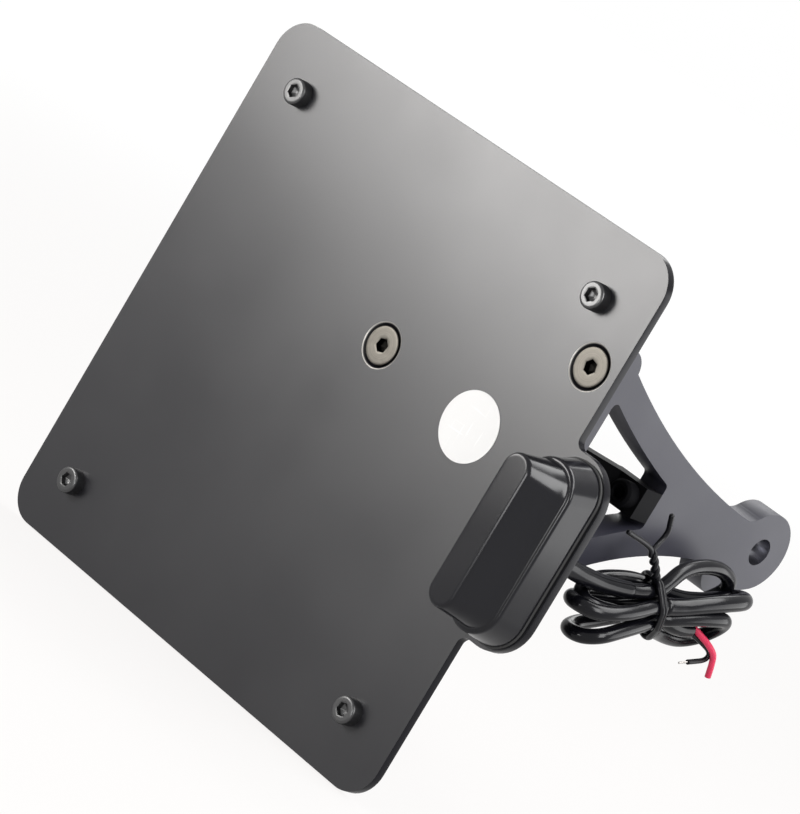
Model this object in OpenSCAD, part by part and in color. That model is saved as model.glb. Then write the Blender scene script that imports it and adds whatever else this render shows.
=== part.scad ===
// Side-mounted number plate holder for a motorcycle, in millimetres.
// The frame is the in-use one, seen from behind: +X to the right, +Y forwards, +Z up.
// The origin is the centre of the bore in the arm's eye, where the arm bolts to the motorcycle.

/* [Panel] */
// Side of the square panel that carries the number plate
panel_side = 180; // [160:1:220]
// Thickness of the panel sheet
panel_t = 3; // [2:0.5:5]
// Corner radius of the panel
panel_corner_r = 11; // [4:1:20]
// Distance between the number plate screws, across and up
stud_pitch = 140; // [110:1:145]
// Length of the lamp tab along the panel's right edge
tab_l = 63; // [58:1:80]
// How far the lamp tab stands out from the panel's right edge
tab_out = 19.5; // [17:0.5:26]
// Radius of the lamp tab's two outer corners
tab_corner_r = 13; // [6:1:16]
// Fillet where the lamp tab leaves the panel's edge
tab_fillet_r = 3; // [1:0.5:6]

/* [Arm] */
// Thickness of the arm plate
arm_t = 10; // [8:1:14]
// Distance from the arm's outer face to the panel's right edge
arm_inset = 5; // [3:0.5:6]
// Distance from the back of the panel to the eye bore
eye_reach = 111.5; // [104:0.5:125]
// Distance from the panel's top edge down to the eye bore
eye_drop = 68; // [60:1:76]
// Diameter of the eye bore
eye_bore_d = 9; // [6:0.5:12]
// Outer radius of the eye
eye_r = 13; // [11:0.5:15]
// Radius of the lobe below the eye
lobe_r = 8; // [6:0.5:9]
// How far the lobe's centre lies behind the bore, towards the panel
lobe_back = 12.5; // [10:0.5:15]
// How far the lobe's centre lies below the bore
lobe_down = 10; // [7:0.5:11]
// Height of the arm's neck
neck_h = 18; // [14:0.5:22]
// How far the neck's narrowest place lies behind the bore
neck_back = 16; // [14:0.5:20]
// Radius of the long concave upper edge
upper_edge_r = 269; // [220:1:320]
// Radius of the concave lower edge
lower_edge_r = 129; // [115:1:150]
// How far the foot reaches above and below the bore
foot_half = 40.8; // [38:0.2:46]
// Radius of the rounded nub at the foot's upper end
nub_r = 7; // [5:0.5:8]
// How far the nub stands out from the back of the panel
nub_out = 12; // [10:0.5:14]
// Width of the webs round the cut-out
web = 9.4; // [8:0.2:11]
// Depth of the cut-out, from the foot web to its short wall
cutout_l = 43.2; // [38:0.2:46]
// Corner radius of the cut-out
cutout_corner_r = 1.8; // [1:0.1:3]
// Distance of each foot screw from the bore's height
foot_screw_pitch = 30.4; // [27:0.2:33]

/* [Brace] */
// Width of the brace across its flat
brace_w = 10; // [8:0.5:12]
// Thickness of the brace bar
brace_bar_t = 9; // [6:0.5:10]
// Thickness of the brace's foot against the panel
brace_foot_t = 10; // [9.5:0.5:12]
// Length of the brace's foot
brace_foot_l = 22; // [18:1:28]
// Distance from the arm's middle to the screw in the brace's foot
brace_span = 70.8; // [64:0.2:80]
// Thickness of the pad against the arm
brace_pad_t = 8; // [6:0.5:9]
// How far the pad reaches beyond the arm's inner face
brace_pad_out = 8; // [7:0.5:12]

/* [Screws] */
// Shank diameter of the number plate screws
plate_screw_d = 5; // [4:0.5:6]
// Length of the number plate screws under the head
plate_screw_l = 12; // [11:1:16]
// Head diameter of the number plate screws
plate_head_d = 8.5; // [7:0.1:10]
// Head height of the number plate screws
plate_head_h = 4; // [3:0.1:5]
// Size across the flats of their socket
plate_socket_af = 4; // [3:0.5:4]
// Size across the flats of the plate nuts
plate_nut_af = 8; // [8:0.5:10]
// Height of the plate nuts
plate_nut_h = 4.7; // [4:0.1:5.5]
// Outer diameter of the plate washers
plate_washer_d = 10; // [9:0.5:10.5]
// Thickness of the plate washers
plate_washer_t = 1; // [0.8:0.1:1.2]
// Shank diameter of the countersunk screws
sunk_screw_d = 6; // [5:0.5:6.5]
// Length of the countersunk screws
sunk_screw_l = 12; // [9:0.5:12.5]
// Head diameter of the countersunk screws
sunk_head_d = 12; // [11:0.1:12.4]
// Size across the flats of their socket
sunk_socket_af = 4; // [3:0.5:4.5]
// Shank diameter of the screw through the brace's pad
pad_screw_d = 5; // [4:0.5:5.5]
// Length of the screw through the brace's pad
pad_screw_l = 20; // [16:1:24]
// Shank diameter of the lamp screws
lamp_screw_d = 4; // [3:0.5:4.5]
// Length of the lamp screws under the head
lamp_screw_l = 12; // [10:1:14]
// Distance between the two lamp screws
lamp_screw_pitch = 38; // [34:1:42]

/* [Lamp] */
// Length of the lamp's base along the panel's edge
lamp_l = 59.6; // [56:0.2:61]
// Width of the lamp's base
lamp_w = 21.6; // [20:0.2:23]
// How far the lamp's outer side stops short of the tab's edge
lamp_margin = 1.1; // [0.5:0.1:2]
// Height of the lower tier of the lamp
lamp_tier_h = 13; // [10:0.5:16]
// Height of the whole lamp above the panel's face
lamp_h = 25; // [22:0.5:30]
// Draft of the lower tier at each end
lamp_end_draft = 1.9; // [0.5:0.1:3]
// Width of the ledge between the two tiers
lamp_ledge = 1.5; // [0.5:0.1:2.5]
// Length of the lamp's narrow front face
lamp_face_l = 49.6; // [44:0.2:52]
// Width of the lamp's narrow front face
lamp_face_w = 9.8; // [8:0.2:12]
// Rounding of the rim round the front face
lamp_rim = 1; // [0.5:0.1:1.5]
// Slope of the lens side, in degrees
lens_slope = 7.4; // [5:0.1:9]
// Wall thickness of the lamp's housing
lamp_wall = 2; // [1.5:0.1:2.5]
// Thickness of the gasket under the lamp
gasket_t = 1; // [0.6:0.1:1.5]
// Length of the lens window's pocket
lens_l = 42; // [36:1:44]
// Width of the lens
lens_w = 12; // [10:0.5:13]
// Thickness of the lens
lens_t = 1.2; // [1:0.1:1.5]
// Length of the lamp's circuit board
board_l = 28; // [24:1:29]
// Thickness of the circuit board
board_t = 1.2; // [0.8:0.1:1.6]

/* [Cable] */
// Diameter of the cable's jacket
cable_d = 4.7; // [3.5:0.1:5]
// Diameter of one wire with its insulation
wire_d = 1.6; // [1.2:0.1:2]
// Length of the tied cable bundle
hank_l = 80; // [72:1:86]
// Width of the bundle
hank_w = 20; // [18:1:26]
// Thickness of the bundle
hank_t = 18; // [14:0.5:20]
// Slope of the bundle, in degrees
hank_slope = 13.5; // [10:0.5:18]
// Diameter of the coated wire that ties the bundle
tie_d = 1.7; // [1.2:0.1:2.2]

/* [Clearances] */
// Radial clearance of a screw in a plain hole
hole_clear = 0.25; // [0.1:0.05:0.5]
// Radial clearance of a screw in a threaded hole
thread_clear = 0.05; // [0.02:0.01:0.15]
// Clearance round the head of a countersunk screw
sunk_clear = 0.3; // [0.2:0.05:0.4]
// Clearance round the lens in its pocket
lens_clear = 0.15; // [0.1:0.05:0.3]
// Clearance between the tie and the bundle
tie_clear = 0.2; // [0.1:0.05:0.4]

/* [Hidden] */
$fn = 64;
eps = 0.01;

// Places of the panel in the frame
panel_back = -eye_reach;
panel_front = panel_back - panel_t;
panel_right = arm_t / 2 + arm_inset;
panel_top = eye_drop;
panel_mid_x = panel_right - panel_side / 2;
panel_mid_z = panel_top - panel_side / 2;
stud_places = [for (sx = [-1, 1], sz = [1, -1])
  [panel_mid_x + sx * stud_pitch / 2, panel_mid_z + sz * stud_pitch / 2]];

// Places of the lamp: its axis, its sides at the base and at the front face
lamp_x = panel_right + tab_out - lamp_margin - lamp_w / 2;
lamp_z = panel_mid_z;
lamp_left = lamp_x - lamp_w / 2;
lamp_right = lamp_x + lamp_w / 2;
lamp_base_r = 10.5;
lamp_face_r = lamp_face_w / 2;
lamp_screw_places = [lamp_z + lamp_screw_pitch / 2, lamp_z - lamp_screw_pitch / 2];
lamp_washer_t = 0.8;
lamp_washer_d = 9;
lamp_head_d = 7;
lamp_head_h = 2.6;
lamp_boss_r = 3.6;
lamp_boss_depth = 9;

// The lens, the board and its chips stand in the lens side's own slope
lens_mid = (gasket_t + lamp_h) / 2;
lens_lip = 1.5;
lens_side_x = lamp_left + lens_mid * tan(lens_slope);
lens_to_board = 6;
board_w = 9;
chip_side = 3;
chip_t = 1;
chip_pitch = 9;

// Centres of the arm's two long concave edges, each through the foot and the neck
function third_point(p, q, r, side) =
  let (m = (p + q) / 2, d = (q - p) / norm(q - p), h = sqrt(r * r - pow(norm(q - p) / 2, 2)))
  m + side * h * [-d[1], d[0]];
upper_foot = [-eye_reach + nub_out, foot_half - 6];
upper_neck = [-neck_back, neck_h / 2 - 1];
lower_foot = [-eye_reach + nub_out, -foot_half];
lower_neck = [-neck_back, -neck_h / 2];
upper_mid = third_point(upper_foot, upper_neck, upper_edge_r, 1);
lower_mid = third_point(lower_foot, lower_neck, lower_edge_r, -1);
foot_screw_places = [foot_screw_pitch, -foot_screw_pitch];
cutout_start = -eye_reach + web;
cutout_end = cutout_start + cutout_l;

// The screw through the brace's pad
pad_head_d = 8.5;
pad_head_h = 5;
pad_socket_af = 4;
pad_front = cutout_end - brace_pad_t;

// The cable leaves its gland straight back and comes down on the bundle's near end
gland_r = 4.4;
gland_flange_r = 6.2;
gland_flange_t = 1.6;
gland_nose_l = 7;
gland_nose_r = 3.3;
gland_end = panel_back + gland_nose_l;
hank_mid = [18.3, -50, -25.2];
hank_end_r = hank_w / 2;
cable_route = [
  [lamp_x, gland_end, lamp_z], [lamp_x, -101, lamp_z], [lamp_x, -97, lamp_z - 0.15],
  [lamp_x, -93, lamp_z - 0.3], [lamp_x, -89.5, lamp_z - 0.4], [lamp_x, -87, lamp_z - 0.45]
];
red_route = [[24, -24, -29.6], [24, -22.5, -30], [24, -20.2, -31.2], [24, -18.4, -33.8], [24, -16.9, -37.3]];
black_route = [[22.2, -20, -29.4], [22.2, -19.5, -31.4], [22.2, -21, -33.4], [22.2, -23.8, -34.6], [22.2, -27.6, -35.8]];
black_tip = [[22.2, -27.6, -35.8], [22.2, -31.3, -36.8]];
tie_twist = [[18.3, -55.6, -16], [18.3, -58, -14.5], [18.3, -61, -12], [18.3, -63, -9.5]];
tie_leg_a = [[19.6, -63.2, -9.3], [19.8, -68, -7.6], [20, -73, -6]];
tie_leg_b = [[17, -63.2, -9.3], [16.6, -61.8, -5], [16.4, -62, 0]];
tie_shift = [0, 3.4, 1.4];

// A slab of the given thickness, drawn in X and Z and standing in Y from y0
module slab(y0, t) {
  translate([0, y0 + t, 0]) rotate([90, 0, 0]) linear_extrude(t) children();
}

// A rectangle with round corners, with its middle at the origin
module round_rect(w, h, r) {
  square([w, h - 2 * r], center = true);
  square([w - 2 * r, h], center = true);
  for (x = [-1, 1], y = [-1, 1])
    translate([x * (w / 2 - r), y * (h / 2 - r)]) circle(r);
}

// The piece that fills a square inside corner to a fillet
module fillet_piece(r) {
  difference() {
    translate([-eps, -eps]) square(r + eps);
    translate([r, r]) circle(r);
  }
}

// A round hole or pin along Y
module along_y(x, y, z, r, l) {
  translate([x, y, z]) rotate([-90, 0, 0]) cylinder(r = r, h = l);
}

function unit(v) = v / norm(v);
function heading(p, i) =
  i == 0 ? unit(p[1] - p[0])
  : i == len(p) - 1 ? unit(p[i] - p[i - 1])
  : unit(unit(p[i + 1] - p[i]) + unit(p[i] - p[i - 1]));

// A tube of the given diameter and number of sides along a route that runs mostly in Y and Z
module tube(route, d, sides) {
  n = len(route);
  rings = [for (i = [0:n - 1], k = [0:sides - 1])
    let (t = heading(route, i), a = unit(cross([1, 0, 0], t)), b = cross(t, a))
    route[i] + d / 2 * (cos(360 * k / sides) * a + sin(360 * k / sides) * b)];
  walls = [for (i = [0:n - 2], k = [0:sides - 1]) let (j = (k + 1) % sides)
    [i * sides + k, i * sides + j, (i + 1) * sides + j, (i + 1) * sides + k]];
  near_end = [for (k = [0:sides - 1]) sides - 1 - k];
  far_end = [for (k = [0:sides - 1]) (n - 1) * sides + k];
  polyhedron(rings, [for (f = concat([near_end], walls, [far_end])) [for (i = [len(f) - 1:-1:0]) f[i]]]);
}

// A socket head screw: the head's seat at z = 0, the shank towards +z
module socket_screw(d, l, head_d, head_h, af) {
  rim = head_h / 6;
  difference() {
    union() {
      rotate_extrude() polygon([
        [0, -head_h], [head_d / 2 - rim, -head_h], [head_d / 2, -head_h + rim],
        [head_d / 2, 0], [0, 0]]);
      rotate_extrude() polygon([
        [0, -eps], [d / 2, -eps], [d / 2, l - d / 8], [d / 2 - d / 8, l], [0, l]]);
    }
    translate([0, 0, -head_h - eps]) cylinder(r = af / sqrt(3), h = head_h * 0.4, $fn = 6);
    translate([0, 0, -head_h - eps]) cylinder(r1 = af / sqrt(3) + 0.3, r2 = af / 2, h = 0.6);
  }
}

// A countersunk screw: its flat top at z = 0, the shank towards +z
module sunk_screw() {
  cone_h = (sunk_head_d - sunk_screw_d) / 2;
  rim = 0.2;
  difference() {
    rotate_extrude() polygon([
      [0, 0], [sunk_head_d / 2, 0], [sunk_head_d / 2, rim], [sunk_screw_d / 2, rim + cone_h],
      [sunk_screw_d / 2, sunk_screw_l - 0.7], [sunk_screw_d / 2 - 0.7, sunk_screw_l], [0, sunk_screw_l]]);
    translate([0, 0, -eps]) cylinder(r = sunk_socket_af / sqrt(3), h = 2.2, $fn = 6);
  }
}

// The outline of the panel with its lamp tab, in X and Z
module panel_outline() {
  translate([panel_mid_x, panel_mid_z]) round_rect(panel_side, panel_side, panel_corner_r);
  tab_root = tab_corner_r;
  translate([panel_right + tab_out / 2 - tab_root / 2, panel_mid_z])
    round_rect(tab_out + tab_root, tab_l, min(tab_corner_r, tab_root));
  for (s = [0, 1])
    translate([panel_right, panel_mid_z]) mirror([0, s])
      translate([0, tab_l / 2]) fillet_piece(tab_fillet_r);
}

module number_plate_panel() {
  color("dimgray") difference() {
    slab(panel_front, panel_t) panel_outline();
    for (p = stud_places)
      along_y(p[0], panel_front - 1, p[1], plate_screw_d / 2 + hole_clear, panel_t + 2);
    for (z = foot_screw_places) sunk_hole(0, z);
    sunk_hole(-brace_span, 0);
    for (z = lamp_screw_places)
      along_y(lamp_x, panel_front - 1, z, lamp_screw_d / 2 + hole_clear, panel_t + 2);
    along_y(lamp_x, panel_front - 1, lamp_z, gland_r + hole_clear / 2, panel_t + 2);
  }
}

// A hole through the panel with a seat for a countersunk head
module sunk_hole(x, z) {
  seat_r = sunk_head_d / 2 + sunk_clear;
  hole_r = sunk_screw_d / 2 + sunk_clear;
  along_y(x, panel_front - 1, z, hole_r, panel_t + 2);
  translate([x, panel_front - eps, z]) rotate([-90, 0, 0])
    cylinder(r1 = seat_r, r2 = hole_r, h = seat_r - hole_r);
}

// A threaded hole behind the panel for a countersunk screw, with its mouth turned out
module tapped_hole(x, z) {
  hole_r = sunk_screw_d / 2 + thread_clear;
  mouth = 0.5;
  along_y(x, panel_back - 1, z, hole_r, sunk_screw_l - panel_t + 1.3);
  translate([x, panel_back - eps, z]) rotate([-90, 0, 0])
    cylinder(r1 = hole_r + mouth, r2 = hole_r, h = mouth);
}

// The arm's outline, drawn forwards and up from the bore
module arm_outline() {
  difference() {
    union() {
      difference() {
        translate([-eye_reach, -foot_half]) square([eye_reach, 2 * foot_half]);
        translate(upper_mid) circle(upper_edge_r, $fn = 256);
        translate(lower_mid) circle(lower_edge_r, $fn = 256);
      }
      nub_outline();
      eye_outline();
    }
    cutout_outline();
  }
}

// The blunt upper end of the foot, cut off flush with the back of the panel
module nub_outline() {
  nub_mid = -eye_reach + nub_out - nub_r;
  intersection() {
    translate([nub_mid, foot_half - nub_r]) circle(nub_r);
    translate([-eye_reach, 0]) square([nub_out, foot_half]);
  }
  translate([-eye_reach, foot_half - 2 * nub_r]) square([nub_out - nub_r, 2 * nub_r]);
}

// The eye and the lobe below it, joined by flat flanks
module eye_outline() {
  hull() {
    circle(eye_r);
    translate([-lobe_back, -lobe_down]) circle(lobe_r);
  }
}

// The three-cornered opening, a web's width inside the outline
module cutout_outline() {
  r = cutout_corner_r;
  difference() {
    translate([cutout_start, -foot_half]) square([cutout_l, 2 * foot_half]);
    translate(upper_mid) circle(upper_edge_r + web, $fn = 256);
    translate(lower_mid) circle(lower_edge_r + web, $fn = 256);
    for (s = [1, -1]) {
      mid = s > 0 ? upper_mid : lower_mid;
      edge = (s > 0 ? upper_edge_r : lower_edge_r) + web;
      corner_piece(cutout_start, 1, s, mid, edge, r);
      corner_piece(cutout_end, -1, s, mid, edge, r);
    }
  }
}

// What a rounded corner leaves standing between a straight wall at x and a long arc
module corner_piece(x, into, s, mid, edge, r) {
  cx = x + into * r;
  cy = mid[1] - s * sqrt(pow(edge + r, 2) - pow(cx - mid[0], 2));
  touch = unit(mid - [cx, cy]) * r;
  difference() {
    polygon([[cx, cy], [cx - into * r, cy], [cx - into * r, cy + s * 3 * r], [cx, cy] + touch * 1.02]);
    translate([cx, cy]) circle(r);
  }
}

module side_arm() {
  color("slategray") difference() {
    rotate([90, 0, 90]) linear_extrude(arm_t, center = true) arm_outline();
    rotate([0, 90, 0]) cylinder(r = eye_bore_d / 2, h = arm_t + 2, center = true);
    for (z = foot_screw_places) tapped_hole(0, z);
    along_y(0, cutout_end - 1, 0, pad_screw_d / 2 + thread_clear, pad_screw_l - brace_pad_t + 2);
  }
}

// A straight bar between two points
module bar(p, q, w) {
  translate(p) rotate(atan2(q[1] - p[1], q[0] - p[0]))
    translate([0, -w / 2]) square([norm(q - p), w]);
}

module brace_strut() {
  pad_left = -arm_t / 2 - brace_pad_out;
  bar_start = [-brace_span + brace_bar_t / 2, panel_back + brace_bar_t / 2];
  bar_end = [pad_left + brace_bar_t / 2, cutout_end - brace_pad_t / 2];
  color("dimgray") difference() {
    linear_extrude(brace_w, center = true) {
      translate([-brace_span - brace_foot_l / 2, panel_back]) square([brace_foot_l, brace_foot_t]);
      translate([pad_left, pad_front]) square([arm_t + brace_pad_out, brace_pad_t]);
      bar(bar_start, bar_end, brace_bar_t);
    }
    tapped_hole(-brace_span, 0);
    along_y(0, pad_front - 1, 0, pad_screw_d / 2 + hole_clear, brace_pad_t + 2);
  }
}

module foot_screw(z) {
  color("silver") translate([0, panel_front, z]) rotate([-90, 0, 0]) sunk_screw();
}

module brace_foot_screw() {
  color("silver") translate([-brace_span, panel_front, 0]) rotate([-90, 0, 0]) sunk_screw();
}

module brace_pad_screw() {
  color("black") translate([0, pad_front, 0]) rotate([-90, 0, 0])
    socket_screw(pad_screw_d, pad_screw_l, pad_head_d, pad_head_h, pad_socket_af);
}

module plate_screw(i) {
  color("black") translate([stud_places[i][0], panel_front, stud_places[i][1]]) rotate([-90, 0, 0])
    socket_screw(plate_screw_d, plate_screw_l, plate_head_d, plate_head_h, plate_socket_af);
}

module washer_on(x, y, z, outer_r, inner_r, t) {
  difference() {
    along_y(x, y, z, outer_r, t);
    along_y(x, y - 1, z, inner_r, t + 2);
  }
}

module plate_washer(i) {
  color("silver") washer_on(stud_places[i][0], panel_back, stud_places[i][1],
    plate_washer_d / 2, plate_screw_d / 2 + hole_clear, plate_washer_t);
}

// A nut with its upper edges turned off and a collar that grips the thread
module plate_nut(i) {
  corner_r = plate_nut_af / sqrt(3);
  hex_h = plate_nut_h * 0.75;
  color("silver") translate([stud_places[i][0], panel_back + plate_washer_t, stud_places[i][1]])
    rotate([-90, 0, 0]) difference() {
      union() {
        intersection() {
          cylinder(r = corner_r, h = hex_h, $fn = 6);
          cylinder(r1 = corner_r + hex_h, r2 = plate_nut_af / 2, h = hex_h + (corner_r - plate_nut_af / 2));
        }
        cylinder(r = plate_nut_af / 2 - 0.4, h = plate_nut_h);
      }
      translate([0, 0, -1]) cylinder(r = plate_screw_d / 2 + thread_clear, h = plate_nut_h + 2);
    }
}

// A stadium-shaped layer of the lamp: its two sides in X, its length, its height over the panel
module lamp_layer(left, right, l, r, h) {
  slab(panel_front - h - eps, eps)
    translate([(left + right) / 2, lamp_z]) round_rect(right - left, l, r, $fn = 32);
}

function lens_side(h) = lamp_left + h * tan(lens_slope);

// The lamp's outer form, made smaller all round by the given amount
module lamp_form(in, top) {
  tier_l = lamp_l - 2 * lamp_end_draft;
  tier_right = lamp_right - 0.3;
  face_right = lens_side(lamp_h) + lamp_face_w;
  hull() {
    lamp_layer(lamp_left + in, lamp_right - in, lamp_l - 2 * in, lamp_base_r - in, gasket_t);
    lamp_layer(lens_side(lamp_tier_h) + in, tier_right - in, tier_l - 2 * in,
      lamp_base_r - 0.7 - in, lamp_tier_h);
  }
  hull() {
    lamp_layer(lens_side(lamp_tier_h) + in, tier_right - lamp_ledge - in,
      tier_l - 2 * lamp_ledge - 2 * in, lamp_base_r - 1.5 - in, lamp_tier_h - 2 * in);
    lamp_layer(lens_side(lamp_h) + in, face_right - in, lamp_face_l - 2 * in,
      lamp_face_r - in, top - lamp_rim);
    lamp_layer(lens_side(lamp_h) + in + lamp_rim, face_right - in - lamp_rim,
      lamp_face_l - 2 * in - 2 * lamp_rim, lamp_face_r - in - lamp_rim, top);
  }
}

// A block in the lens side's slope: how far in from the side it starts, its depth, length, width
module lens_block(from, depth, l, w) {
  translate([lens_side_x, panel_front - lens_mid, lamp_z]) rotate([0, 0, lens_slope])
    translate([from, -w / 2, -l / 2]) cube([depth, w, l]);
}

module lamp_housing() {
  color("black") difference() {
    union() {
      difference() {
        lamp_form(0, lamp_h);
        lamp_form(lamp_wall, lamp_h - lamp_wall);
        lens_block(-2, 2 + lens_t, lens_l + 2 * lens_clear, lens_w + 2 * lens_clear);
        lens_block(-2, 6, lens_l - 2 * lens_lip, lens_w - 2 * lens_lip);
      }
      intersection() {
        lamp_form(lamp_wall / 2, lamp_h - lamp_wall / 2);
        union() {
          for (z = lamp_screw_places)
            along_y(lamp_x, panel_front - lamp_h, z, lamp_boss_r, lamp_h - gasket_t);
          for (s = [-1, 1])
            translate([0, 0, s * board_l / 3])
              lens_block(lens_t + lens_to_board + board_t, lamp_w, 2, board_w);
        }
      }
    }
    for (z = lamp_screw_places)
      along_y(lamp_x, panel_front - gasket_t - lamp_boss_depth, z,
        lamp_screw_d / 2 + thread_clear, lamp_boss_depth + 1);
  }
}

module lamp_gasket() {
  color("black") difference() {
    slab(panel_front - gasket_t, gasket_t)
      translate([lamp_x, lamp_z]) round_rect(lamp_w + 0.6, lamp_l + 0.6, lamp_base_r);
    for (z = lamp_screw_places)
      along_y(lamp_x, panel_front - gasket_t - 1, z, lamp_screw_d / 2 + hole_clear, gasket_t + 2);
    along_y(lamp_x, panel_front - gasket_t - 1, lamp_z, gland_r + hole_clear / 2, gasket_t + 2);
  }
}

module lamp_lens() {
  color("white") lens_block(0, lens_t, lens_l, lens_w);
}

module led_board() {
  color("darkgreen") lens_block(lens_t + lens_to_board, board_t, board_l, board_w);
}

module led_chips() {
  color("gold") for (s = [-1, 0, 1])
    translate([0, 0, s * chip_pitch])
      lens_block(lens_t + lens_to_board - chip_t, chip_t, chip_side, chip_side);
}

module lamp_screw(z) {
  color("black") translate([lamp_x, panel_back + lamp_washer_t, z]) rotate([90, 0, 0])
    socket_screw(lamp_screw_d, lamp_screw_l, lamp_head_d, lamp_head_h, 2.5);
}

module lamp_washer(z) {
  color("silver") washer_on(lamp_x, panel_back, z,
    lamp_washer_d / 2, lamp_screw_d / 2 + hole_clear, lamp_washer_t);
}

// A moulded gland that fills the tab's hole, with a flange behind and a tapered nose
module cable_gland() {
  color("black") translate([lamp_x, panel_front, lamp_z]) rotate([-90, 0, 0]) rotate_extrude() polygon([
    [0, 0], [gland_r, 0], [gland_r, panel_t], [gland_flange_r, panel_t],
    [gland_flange_r, panel_t + gland_flange_t], [gland_r, panel_t + gland_flange_t],
    [gland_nose_r, panel_t + gland_nose_l], [0, panel_t + gland_nose_l]]);
}

// The round label is left bare
module round_label() {
  label_r = 11;
  label_t = 0.2;
  color("white") along_y(-26.4, panel_front - label_t, -4.1, label_r, label_t);
}

module cable_lead() {
  color("black") tube(cable_route, cable_d, 12);
}

// The tied bundle: one closed solid of its outer shape
module cable_hank() {
  color("black") translate(hank_mid) rotate([hank_slope, 0, 0])
    linear_extrude(hank_t, center = true) round_rect(hank_w, hank_l, hank_end_r - eps);
}

// The coated tie wire: a band round the bundle's middle, a twist and two splayed ends
module bundle_tie() {
  ring_w = hank_w + 2 * tie_clear;
  ring_t = hank_t + 2 * tie_clear;
  color("black") {
    translate(hank_mid) rotate([hank_slope, 0, 0]) rotate([90, 0, 0])
      linear_extrude(2 * tie_d, center = true) difference() {
        round_rect(ring_w + 2 * tie_d, ring_t + 2 * tie_d, 2);
        square([ring_w, ring_t], center = true);
      }
    translate(tie_shift) {
      tube(tie_twist, 2 * tie_d, 8);
      tube(tie_leg_a, tie_d, 8);
      tube(tie_leg_b, tie_d, 8);
    }
  }
}

module red_wire() {
  color("crimson") tube(red_route, wire_d, 8);
}

module black_wire() {
  color("black") tube(black_route, wire_d, 8);
}

module black_wire_tip() {
  color("silver") tube(black_tip, wire_d * 0.55, 8);
}

number_plate_panel();
side_arm();
brace_strut();
foot_screw(foot_screw_places[0]);  // arm_screw_upper
foot_screw(foot_screw_places[1]);  // arm_screw_lower
brace_foot_screw();
brace_pad_screw();
plate_screw(0);  // plate_screw_1
plate_screw(1);  // plate_screw_2
plate_screw(2);  // plate_screw_3
plate_screw(3);  // plate_screw_4
plate_washer(0);  // plate_washer_1
plate_washer(1);  // plate_washer_2
plate_washer(2);  // plate_washer_3
plate_washer(3);  // plate_washer_4
plate_nut(0);  // plate_nut_1
plate_nut(1);  // plate_nut_2
plate_nut(2);  // plate_nut_3
plate_nut(3);  // plate_nut_4
lamp_housing();
lamp_gasket();
lamp_lens();
led_board();
led_chips();
lamp_screw(lamp_screw_places[0]);  // lamp_screw_upper
lamp_screw(lamp_screw_places[1]);  // lamp_screw_lower
lamp_washer(lamp_screw_places[0]);  // lamp_washer_upper
lamp_washer(lamp_screw_places[1]);  // lamp_washer_lower
cable_gland();
round_label();
cable_lead();
cable_hank();
bundle_tie();
red_wire();
black_wire();
black_wire_tip();
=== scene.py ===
"""Number plate holder with lamp: the dressed model, built over the fixed frame."""

from math import cos, pi, radians, sin, sqrt

import bmesh
import bpy
from bpy.props import FloatProperty, FloatVectorProperty, PointerProperty
from mathutils import Matrix, Vector


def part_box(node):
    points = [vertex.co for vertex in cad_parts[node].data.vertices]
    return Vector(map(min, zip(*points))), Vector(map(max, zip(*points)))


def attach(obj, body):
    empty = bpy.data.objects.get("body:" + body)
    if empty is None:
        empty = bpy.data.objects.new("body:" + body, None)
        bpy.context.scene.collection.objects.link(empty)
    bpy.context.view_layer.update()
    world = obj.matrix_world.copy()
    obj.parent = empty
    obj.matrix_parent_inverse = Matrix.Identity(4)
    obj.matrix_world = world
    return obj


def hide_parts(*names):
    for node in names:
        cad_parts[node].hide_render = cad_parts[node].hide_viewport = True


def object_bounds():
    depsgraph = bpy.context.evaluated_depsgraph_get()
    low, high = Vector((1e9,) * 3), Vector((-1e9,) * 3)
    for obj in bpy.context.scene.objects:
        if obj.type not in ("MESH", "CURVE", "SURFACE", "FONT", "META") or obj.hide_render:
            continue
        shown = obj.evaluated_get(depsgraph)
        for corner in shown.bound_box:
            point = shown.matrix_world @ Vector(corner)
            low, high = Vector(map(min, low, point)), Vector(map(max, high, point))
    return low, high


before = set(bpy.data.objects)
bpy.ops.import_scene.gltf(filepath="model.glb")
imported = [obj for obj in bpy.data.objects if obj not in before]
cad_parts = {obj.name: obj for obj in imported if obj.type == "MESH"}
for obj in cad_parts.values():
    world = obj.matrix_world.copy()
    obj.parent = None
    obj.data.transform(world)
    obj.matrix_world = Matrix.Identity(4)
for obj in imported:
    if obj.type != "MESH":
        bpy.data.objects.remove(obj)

bl_info = {
    "name": "Number plate holder",
    "version": (1, 0, 0),
    "blender": (4, 5, 0),
    "location": "View3D > Sidebar > Plate Holder",
    "description": "Dresses a side-mounted number plate holder with its lamp, cable and screws",
    "category": "Object",
}

BODY = "root"
CAD_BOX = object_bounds()
PANEL_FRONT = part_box("number_plate_panel")[0][1]

BRIGHT_SCREWS = ("arm_screw_upper", "arm_screw_lower", "brace_foot_screw")

# Sizes that the solids fix, in metres
SUNK_HEAD_RADIUS = 0.006
SCREW_HEAD_HEIGHT = 0.004
EYE_RADIUS = 0.013
EYE_BORE_RADIUS = 0.0045
ARM_HALF_THICKNESS = 0.005

# The cable's bundle, in millimetres: its middle and the slope of its long axis
BUNDLE_MIDDLE = Vector((18.3, -50.0, -26.0))
BUNDLE_SLOPE = radians(13.5)

# The stretch from the gland to the bundle, as X, Y and Z
CABLE_LEAD = [
    (17.6, -104.5, -22.0), (17.6, -100.0, -22.1), (17.7, -95.5, -22.6),
    (18.0, -90.0, -23.1), (18.3, -80.5, -23.3),
]

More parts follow.
